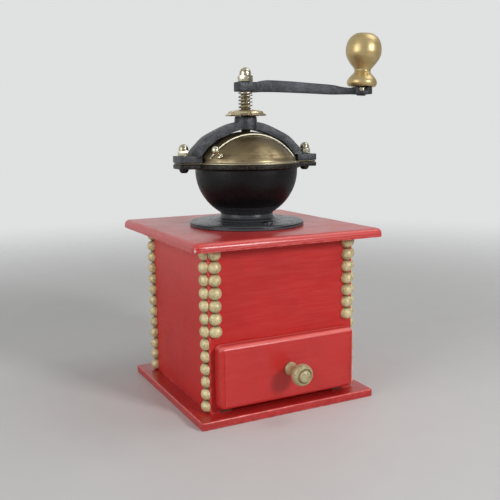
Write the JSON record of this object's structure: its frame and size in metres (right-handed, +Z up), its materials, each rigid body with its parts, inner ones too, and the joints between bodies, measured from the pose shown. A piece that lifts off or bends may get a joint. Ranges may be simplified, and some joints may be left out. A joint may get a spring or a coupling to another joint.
{
  "type": "manual coffee grinder",
  "caption": "Hand-cranked box coffee grinder: iron hopper with a brass dome cover, conical burrs, bridge and crank on a painted wooden box with a drawer.",
  "frame": {"origin": "centre of the underside of the base board, on the surface the grinder stands on", "axes": "+Z up along the grinding shaft; -Y is the drawer's side; +X is the side the crank points to at rest"},
  "size_m": [0.2102, 0.1766, 0.2921],
  "materials": {
    "red_paint": "brushed red satin paint on wood",
    "bare_wood": "bare sanded wood",
    "gold_paint": "gold paint on turned wood",
    "black_iron": "satin black enamel",
    "burr_steel": "hardened, dull",
    "steel": "plain",
    "plated_nut": "pale polished plating",
    "aged_brass": "polished, aged",
    "brass": "bright"
  },
  "bodies": {
    "mill_frame": {"base_board": "red_paint", "top_board": "red_paint", "left_panel": "red_paint", "right_panel": "red_paint", "back_panel": "red_paint", "front_panel": "red_paint", "left_runner": "bare_wood", "right_runner": "bare_wood", "beads_front_left": "gold_paint", "beads_front_right": "gold_paint", "beads_right_front": "gold_paint", "beads_right_back": "gold_paint", "beads_back_right": "gold_paint", "beads_back_left": "gold_paint", "beads_left_back": "gold_paint", "beads_left_front": "gold_paint", "hopper_bowl": "black_iron", "flange_screw_1": "steel", "flange_screw_2": "steel", "flange_screw_3": "steel", "outer_burr": "burr_steel", "lower_bearing_bar": "black_iron", "bearing_screw_left": "steel", "bearing_screw_right": "steel", "bridge": "black_iron", "ear_bolt_left": "steel", "ear_bolt_right": "steel", "ear_nut_left": "plated_nut", "ear_nut_right": "plated_nut", "dome_cover": "aged_brass"},
    "cover": {"cover_door": "aged_brass", "cover_knob": "brass"},
    "drawer": {"drawer_front": "red_paint", "drawer_left_side": "bare_wood", "drawer_right_side": "bare_wood", "drawer_back": "bare_wood", "drawer_bottom": "bare_wood", "drawer_knob": "gold_paint", "drawer_knob_screw": "steel"},
    "wheel": {"adjusting_wheel": "brass"},
    "spring": {"spring": "steel"},
    "crank": {"shaft": "steel", "inner_burr": "burr_steel", "burr_nut": "steel", "crank_washer": "steel", "crank_arm": "black_iron", "crank_cap_nut": "plated_nut", "knob_bush": "brass", "knob_pin": "steel"},
    "knob": {"crank_knob": "gold_paint"}
  },
  "joints": [
    {"name": "crank_spin", "type": "hinge", "parent": "mill_frame", "child": "wheel", "pos_m": [0, 0, 0.2275], "axis": [0, 0, 1], "continuous": true},
    {"name": "adjust_turn", "type": "hinge", "parent": "wheel", "child": "spring", "pos_m": [0, 0, 0.2275], "axis": [0, 0, 1], "range_deg": [-360, 360]},
    {"name": "shaft_lift", "type": "slide", "parent": "spring", "child": "crank", "axis": [0, 0, 1], "range_m": [-0.00125, 0.00125], "deforming": ["spring"]},
    {"name": "knob_spin", "type": "hinge", "parent": "crank", "child": "knob", "pos_m": [0.11443, 0.004, 0.24415], "axis": [0.0523, 0.0018, 0.9986], "continuous": true},
    {"name": "cover_slide", "type": "hinge", "parent": "mill_frame", "child": "cover", "pos_m": [0, 0, 0.2], "axis": [0, 0, 1], "range_deg": [0, 118]},
    {"name": "drawer_slide", "type": "slide", "parent": "mill_frame", "child": "drawer", "axis": [0, -1, 0], "range_m": [0, 0.085]}
  ],
  "couplings": [
    {"joint": "adjust_turn", "follows": "shaft_lift", "rad_per_m": 5026.5}
  ]
}
